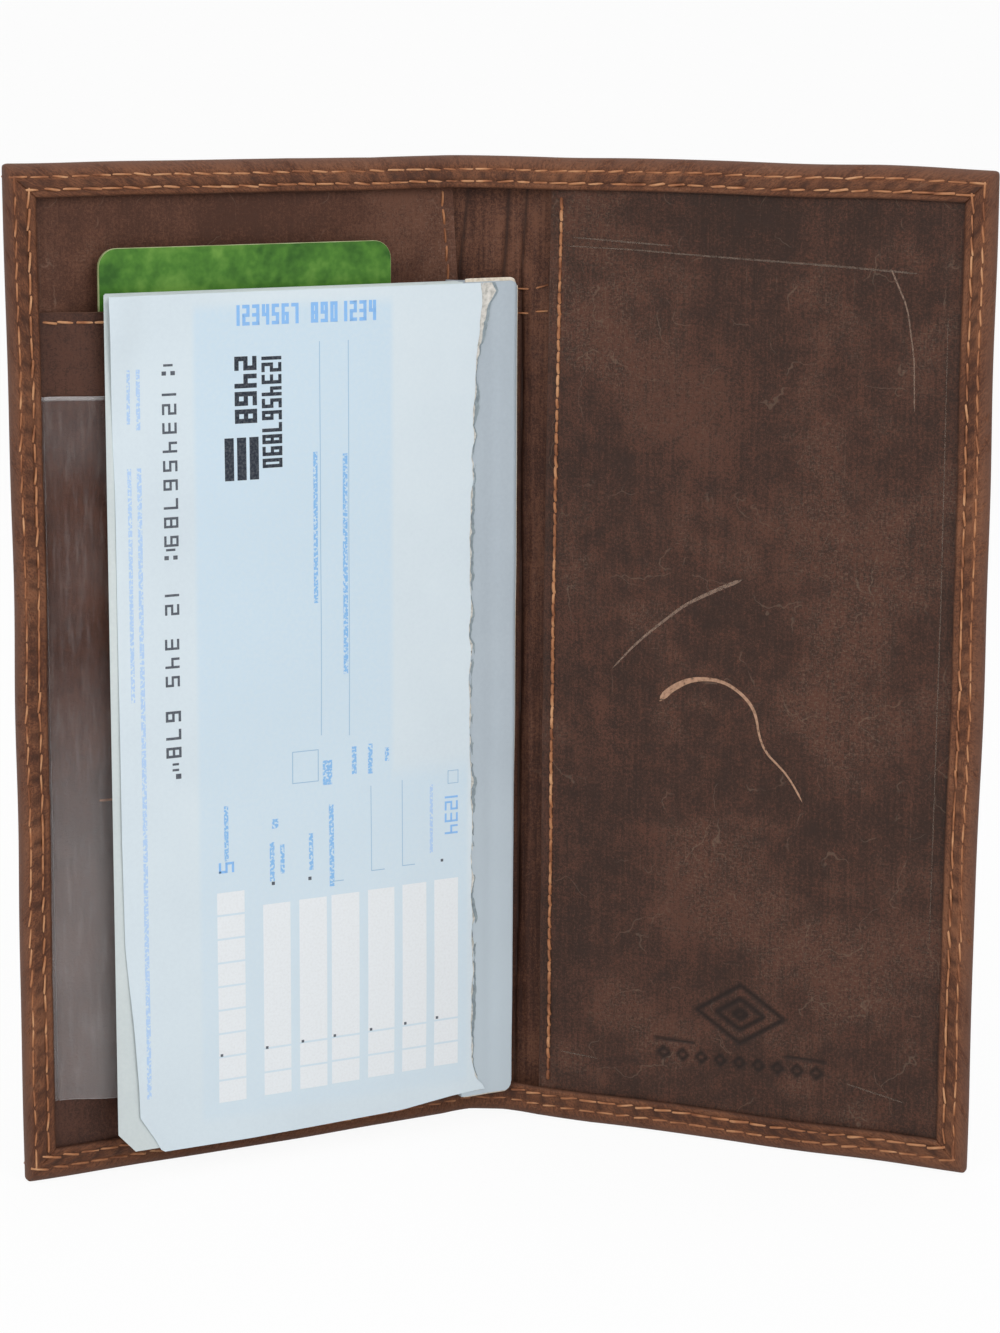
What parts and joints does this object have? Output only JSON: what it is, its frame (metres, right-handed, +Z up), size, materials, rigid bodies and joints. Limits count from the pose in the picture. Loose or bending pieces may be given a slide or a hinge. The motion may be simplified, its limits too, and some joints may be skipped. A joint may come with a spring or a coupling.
{
  "type": "checkbook cover",
  "caption": "Brown leather checkbook cover standing open in a V, with turned hems, a card pocket, a clear divider flap and a pad of slips.",
  "frame": {"origin": "on the floor under the middle of the spine, at the middle of the spine's turned hem", "axes": "+Z up along the spine, +Y out of the spine's back, +X towards the right cover; the covers open towards -Y"},
  "size_m": [0.1659, 0.0424, 0.174],
  "materials": {
    "hide_outer": "waxed pull-up leather with an orange-brown burnish on the turned hems",
    "hide_lining": "thin waxed leather, creased along the folds",
    "hide_left": "reddish brown waxed leather",
    "hide_card_pocket": "reddish brown waxed leather",
    "hide_right": "dark brown waxed leather with pale scuffs",
    "thread": "twisted orange-tan polyester thread",
    "shielding": "metallised woven lining",
    "clear_film": "clear flexible vinyl film",
    "card_face": "green plastic card with a pale edge",
    "backer_card": "cream backing card",
    "stub_paper": "blue-grey bound stub",
    "slip_paper": "pale blue printed slips"
  },
  "bodies": {
    "spine": {"cover_spine": "hide_outer", "fold_left": "hide_outer", "fold_right": "hide_outer", "spine_lining_lower": "hide_lining", "spine_lining_upper": "hide_lining", "border_thread_spine": "thread"},
    "left_cover": {"cover_left": "hide_outer", "shield_left": "shielding", "left_inner_panel": "hide_left", "card_pocket_panel": "hide_card_pocket", "card_pocket_thread": "thread", "card_pocket_seam": "thread", "left_mouth_thread": "thread", "border_thread_left": "thread", "divider_sewn_edge": "clear_film", "pad_backer": "backer_card", "pad_stub": "stub_paper"},
    "right_cover": {"cover_right": "hide_outer", "shield_right": "shielding", "right_pocket_panel": "hide_right", "right_mouth_thread": "thread", "border_thread_right": "thread"},
    "card": {"card": "card_face"},
    "divider": {"divider_flap": "clear_film"},
    "slips": {"pad_slips": "slip_paper"},
    "front_slip": {"pad_top_slip": "slip_paper"}
  },
  "joints": [
    {"name": "left_fold", "type": "hinge", "parent": "spine", "child": "left_cover", "pos_m": [-0.007, 0.0017, 0.087], "axis": [0, 0, -1], "range_deg": [-62.5, 37.5], "deforming": ["fold_left", "pad_stub", "spine_lining_lower", "spine_lining_upper"]},
    {"name": "right_fold", "type": "hinge", "parent": "spine", "child": "right_cover", "pos_m": [0.007, 0.0017, 0.087], "axis": [0, 0, 1], "range_deg": [-67.5, 32.5], "deforming": ["fold_right"]},
    {"name": "card_slide", "type": "slide", "parent": "left_cover", "child": "card", "axis": [0, 0, 1], "range_m": [0, 0.075]},
    {"name": "slips_turn", "type": "hinge", "parent": "left_cover", "child": "slips", "pos_m": [-0.00536, -0.00794, 0.07975], "axis": [0, 0, 1], "range_deg": [0, 60]},
    {"name": "front_slip_turn", "type": "hinge", "parent": "slips", "child": "front_slip", "pos_m": [-0.00527, -0.00812, 0.07975], "axis": [0, 0, 1], "range_deg": [0, 130]},
    {"name": "divider_turn", "type": "hinge", "parent": "left_cover", "child": "divider", "pos_m": [-0.075, -0.03725, 0.07475], "axis": [0, 0, -1], "range_deg": [0, 36]}
  ],
  "couplings": [
    {"joint": "divider_turn", "follows": "slips_turn", "ratio": 0.6}
  ]
}
